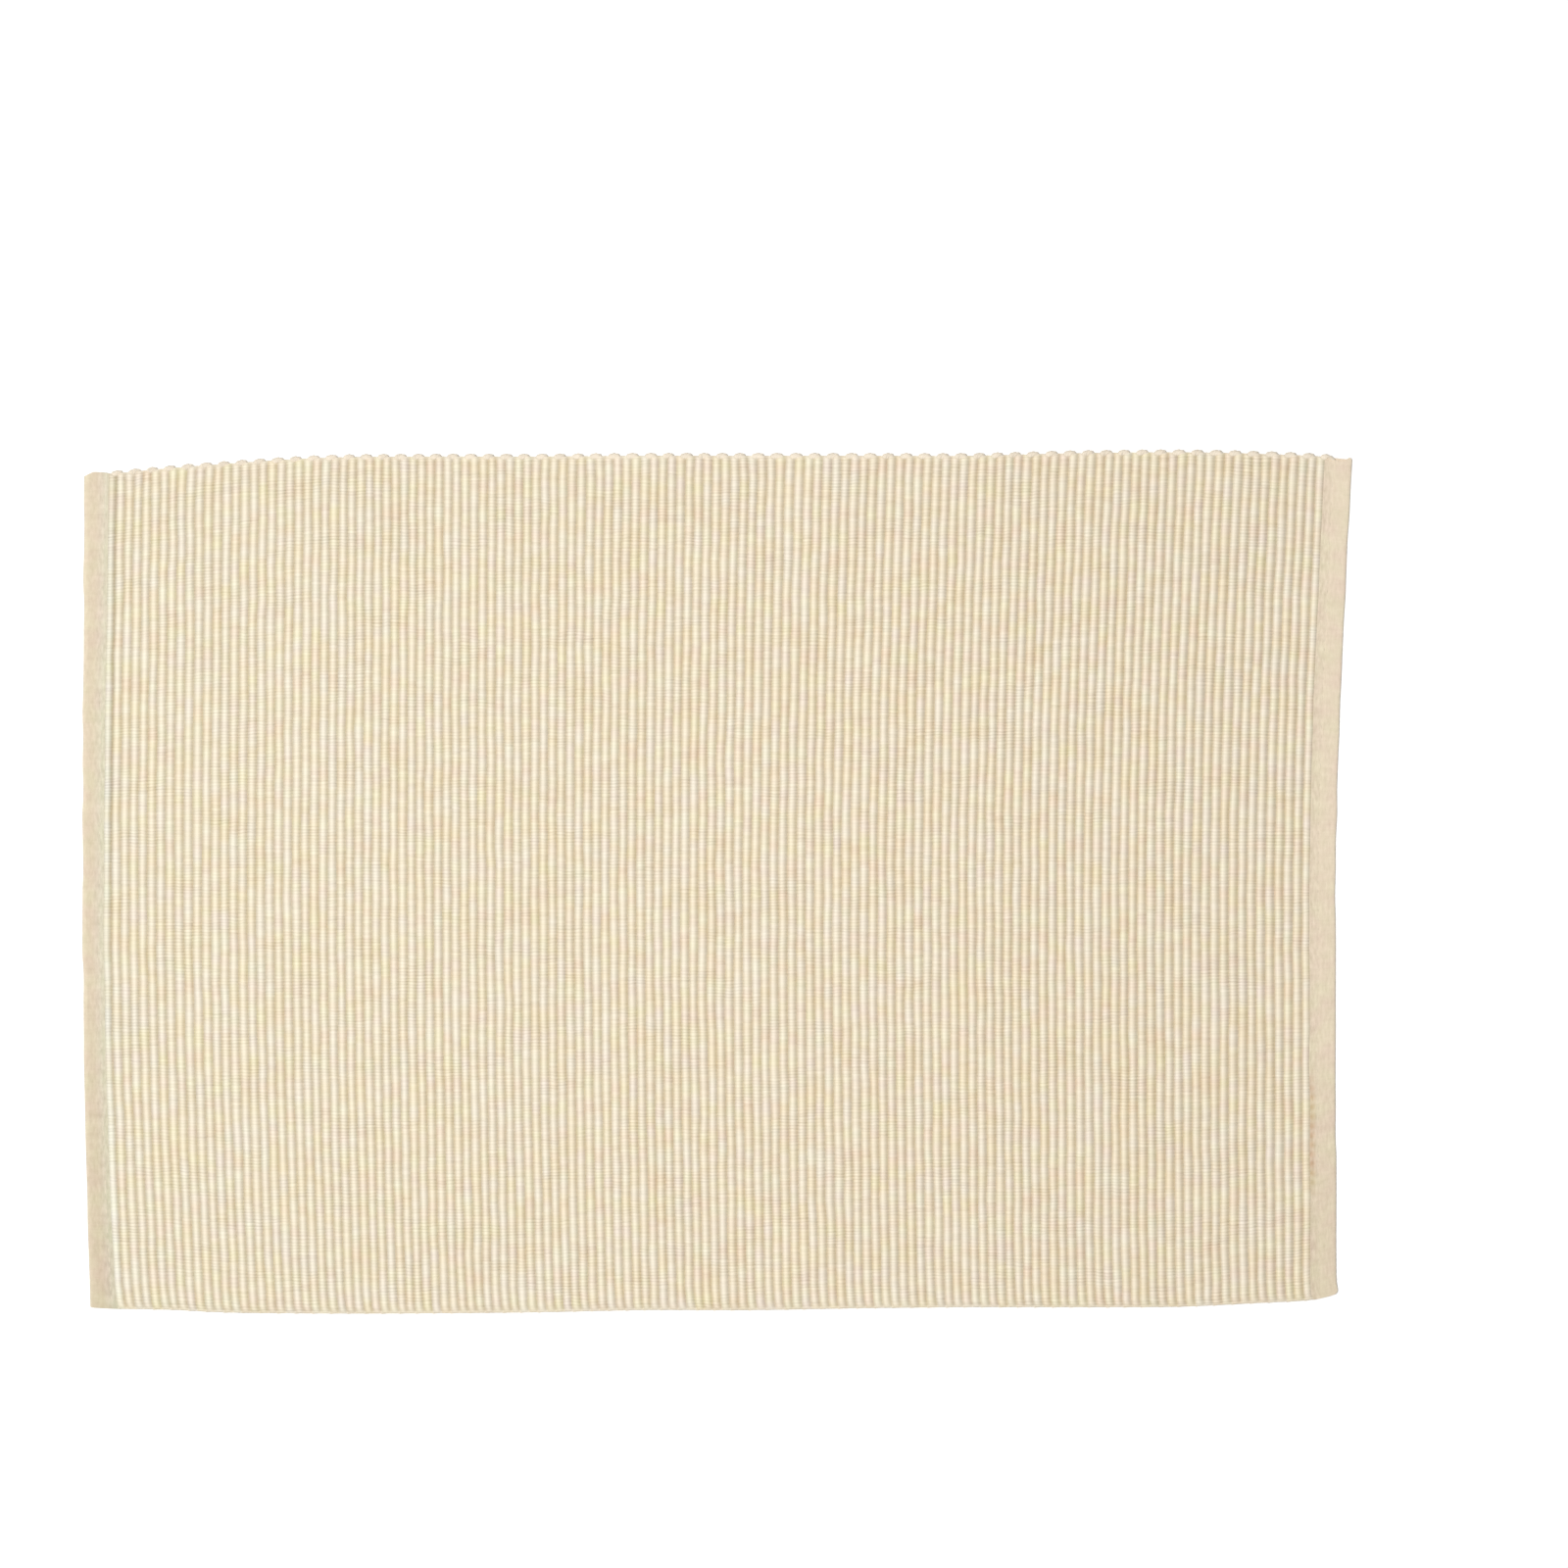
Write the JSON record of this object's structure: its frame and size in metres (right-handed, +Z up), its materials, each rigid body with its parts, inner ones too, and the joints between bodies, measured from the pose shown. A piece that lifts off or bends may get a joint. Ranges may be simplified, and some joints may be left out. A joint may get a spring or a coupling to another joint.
{
  "type": "ribbed fabric placemat",
  "caption": "Flat rectangular table mat of thick ribbed cotton cloth, hemmed at its two short ends, with looped woven edges along its two long sides.",
  "frame": {"origin": "on the surface the mat lies on, under the middle of its footprint", "axes": "+X along the mat's long side, across the ribs, +Y along the ribs, away from the person who sits at it, +Z up out of its upper face"},
  "size_m": [0.4846, 0.3308, 0.0023],
  "materials": {
    "undyed_cotton": "matt, warm cream, thick warp-faced rib weave of undyed cotton yarn"
  },
  "bodies": {
    "root": {"ribbed_mat": "undyed_cotton"}
  },
  "joints": []
}
